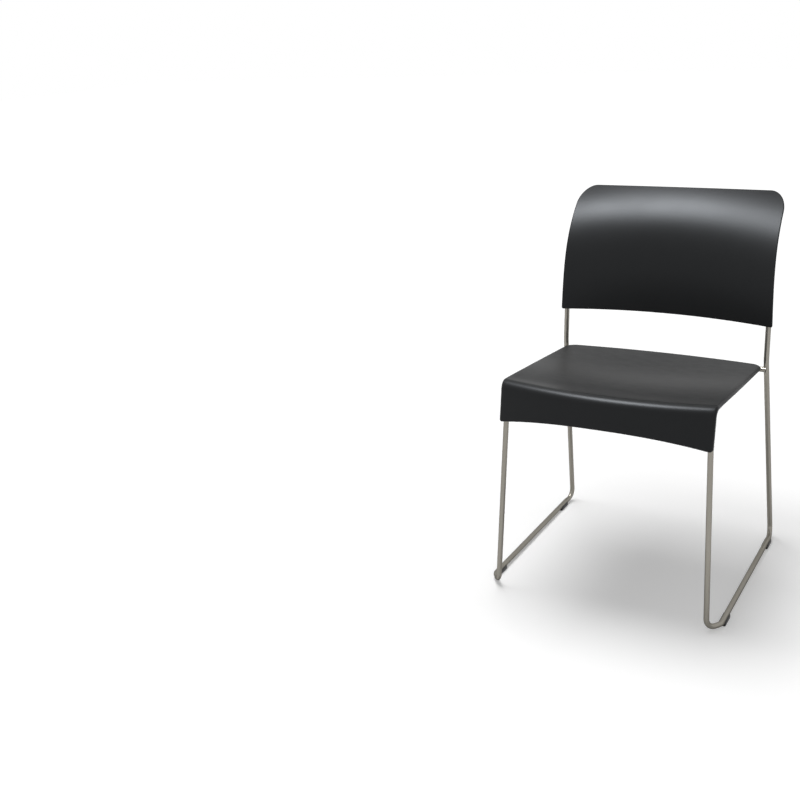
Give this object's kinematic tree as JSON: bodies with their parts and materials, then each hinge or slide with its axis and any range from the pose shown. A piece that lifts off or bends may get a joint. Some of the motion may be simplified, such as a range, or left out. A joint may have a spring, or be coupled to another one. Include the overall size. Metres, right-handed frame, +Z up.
{
  "type": "stacking chair",
  "caption": "Stacking chair with a bent steel rod sled frame, a moulded seat shell with a rolled front apron and a separate curved backrest shell.",
  "frame": {"origin": "on the floor, at the middle of the chair's width and depth", "axes": "+X towards the sitter's left, -Y towards the front, +Z up"},
  "size_m": [0.5084, 0.51, 0.788],
  "materials": {
    "rod_steel": "satin, fine drawn grain, warm grey",
    "shell_plastic": "fine moulded grain with a soft sheen, charcoal black",
    "screw_steel": "bright plating",
    "glide_plastic": "smooth matte black",
    "black_rubber": "matte black"
  },
  "bodies": {
    "root": {"left_side_rod": "rod_steel", "right_side_rod": "rod_steel", "front_cross_rod": "rod_steel", "rear_cross_rod": "rod_steel", "front_left_seat_tab": "rod_steel", "front_right_seat_tab": "rod_steel", "rear_left_seat_tab": "rod_steel", "rear_right_seat_tab": "rod_steel", "seat_shell": "shell_plastic", "backrest_shell": "shell_plastic", "seat_screws": "screw_steel", "back_screws": "screw_steel", "front_left_glide": "glide_plastic", "front_right_glide": "glide_plastic", "rear_left_glide": "glide_plastic", "rear_right_glide": "glide_plastic", "front_left_buffer": "black_rubber", "front_right_buffer": "black_rubber", "rear_left_buffer": "black_rubber", "rear_right_buffer": "black_rubber"}
  },
  "joints": []
}
